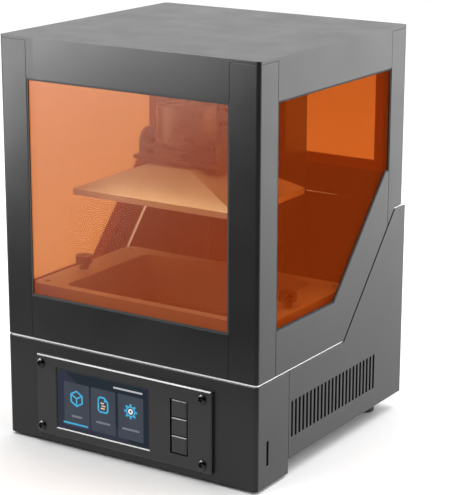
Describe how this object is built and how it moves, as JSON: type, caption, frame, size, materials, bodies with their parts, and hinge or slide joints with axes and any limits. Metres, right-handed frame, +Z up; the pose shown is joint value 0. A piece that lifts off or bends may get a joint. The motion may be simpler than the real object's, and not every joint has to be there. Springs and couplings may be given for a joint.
{
  "type": "resin printer",
  "caption": "Desktop resin printer: black sheet-metal base with a small screen and buttons, tilting cover with orange windows, resin vat and a build plate on a screw-driven column.",
  "frame": {"origin": "on the floor under the middle of the machine's footprint", "axes": "+Z up, -Y towards the user who faces the screen, +X to that user's right"},
  "size_m": [0.25, 0.252, 0.3465],
  "materials": {
    "sheet_dark": "satin powder coat",
    "trim_bright": "clear anodised",
    "rubber_black": "matte",
    "bezel_black": "fine satin",
    "screw_black": "black oxide",
    "screen_glass": "polished cover glass",
    "circuit_board": "solder mask",
    "plastic_black": "fine texture",
    "lamp_bright": "bright rolled",
    "steel_bright": "ground",
    "motor_steel": "laminated stack",
    "block_black": "black anodised aluminium",
    "vat_grey": "grey anodised aluminium",
    "nut_brass": "turned",
    "plate_aluminium": "bead blasted",
    "knob_dark": "black anodised, knurled",
    "film_clear": "release film",
    "acrylic_orange": "tinted acrylic"
  },
  "bodies": {
    "base": {"front_casing": "sheet_dark", "left_side_panel": "sheet_dark", "right_side_panel": "sheet_dark", "rear_panel": "sheet_dark", "base_pan": "sheet_dark", "deck_plate": "sheet_dark", "edge_trim": "trim_bright", "rubber_feet": "rubber_black", "bezel_plate": "bezel_black", "bezel_screws": "screw_black", "display_glass": "screen_glass", "control_board": "circuit_board", "mask_screen": "screen_glass", "lamp_housing": "lamp_bright", "led_board": "circuit_board", "main_board": "circuit_board", "card_socket": "plastic_black", "fan_frame": "plastic_black", "power_inlet": "plastic_black", "column_back_plate": "sheet_dark", "column_side_plates": "sheet_dark", "rod_blocks": "block_black", "guide_rods": "steel_bright", "stepper_motor": "motor_steel", "limit_sensor": "plastic_black", "vat_frame": "vat_grey", "vat_film": "film_clear", "vat_rails": "block_black", "hinge_lower_leaves": "steel_bright", "hinge_pins": "steel_bright"},
    "cover": {"cover_top_panel": "sheet_dark", "cover_front_posts": "sheet_dark", "cover_rear_posts": "sheet_dark", "cover_front_rail": "sheet_dark", "cover_side_rails": "sheet_dark", "cover_rear_rail": "sheet_dark", "front_window": "acrylic_orange", "rear_window": "acrylic_orange", "side_windows": "acrylic_orange", "cover_bumpers": "rubber_black", "hinge_upper_leaves": "steel_bright"},
    "drive_screw": {"lead_screw": "steel_bright", "shaft_coupler": "steel_bright"},
    "carriage": {"carriage_block": "block_black", "linear_bearings": "steel_bright", "lead_nut": "nut_brass", "support_arm": "block_black", "head_block": "block_black", "head_bracket": "block_black", "head_screws": "screw_black"},
    "platform": {"build_plate": "plate_aluminium", "plate_stem": "plate_aluminium"},
    "clamp_knob": {"top_knob": "knob_dark"},
    "vat_knob_left": {"vat_knob_left": "knob_dark"},
    "vat_knob_right": {"vat_knob_right": "knob_dark"},
    "button_1": {"button_1": "plastic_black"},
    "button_2": {"button_2": "plastic_black"},
    "button_3": {"button_3": "plastic_black"},
    "power_rocker": {"power_rocker": "plastic_black"},
    "fan_rotor": {"fan_rotor": "plastic_black"}
  },
  "joints": [
    {"name": "cover_hinge", "type": "hinge", "parent": "base", "child": "cover", "pos_m": [0, 0.123, 0.1915], "axis": [-1, 0, 0], "range_deg": [0, 80]},
    {"name": "carriage_slide", "type": "slide", "parent": "base", "child": "carriage", "axis": [0, 0, 1], "range_m": [-0.116, 0.05]},
    {"name": "lead_screw_spin", "type": "hinge", "parent": "base", "child": "drive_screw", "pos_m": [0, 0.0735, 0.2], "axis": [0, 0, 1], "range_deg": [-2260, 5230]},
    {"name": "plate_tilt", "type": "hinge", "parent": "carriage", "child": "platform", "pos_m": [0, -0.0335, 0.2385], "axis": [1, 0, 0], "range_deg": [-1.5, 1.5]},
    {"name": "clamp_knob_spin", "type": "hinge", "parent": "carriage", "child": "clamp_knob", "pos_m": [0, -0.0335, 0.27], "axis": [0, 0, 1], "continuous": true},
    {"name": "vat_knob_left_spin", "type": "hinge", "parent": "base", "child": "vat_knob_left", "pos_m": [-0.1038, -0.0405, 0.14], "axis": [0, 0, 1], "continuous": true},
    {"name": "vat_knob_right_spin", "type": "hinge", "parent": "base", "child": "vat_knob_right", "pos_m": [0.1038, -0.0405, 0.14], "axis": [0, 0, 1], "continuous": true},
    {"name": "button_1_press", "type": "slide", "parent": "base", "child": "button_1", "axis": [0, 1, 0], "range_m": [0, 0.0008], "stiffness_N_per_m": 500, "springref_m": -0.001},
    {"name": "button_2_press", "type": "slide", "parent": "base", "child": "button_2", "axis": [0, 1, 0], "range_m": [0, 0.0008], "stiffness_N_per_m": 500, "springref_m": -0.001},
    {"name": "button_3_press", "type": "slide", "parent": "base", "child": "button_3", "axis": [0, 1, 0], "range_m": [0, 0.0008], "stiffness_N_per_m": 500, "springref_m": -0.001},
    {"name": "power_rocker_tilt", "type": "hinge", "parent": "base", "child": "power_rocker", "pos_m": [0.0615, 0.1195, 0.048], "axis": [-1, 0, 0], "range_deg": [0, 12]},
    {"name": "fan_spin", "type": "hinge", "parent": "base", "child": "fan_rotor", "pos_m": [-0.07, 0.1135, 0.05], "axis": [0, 1, 0], "continuous": true}
  ],
  "couplings": [
    {"joint": "lead_screw_spin", "follows": "carriage_slide", "rad_per_m": -785.4}
  ]
}
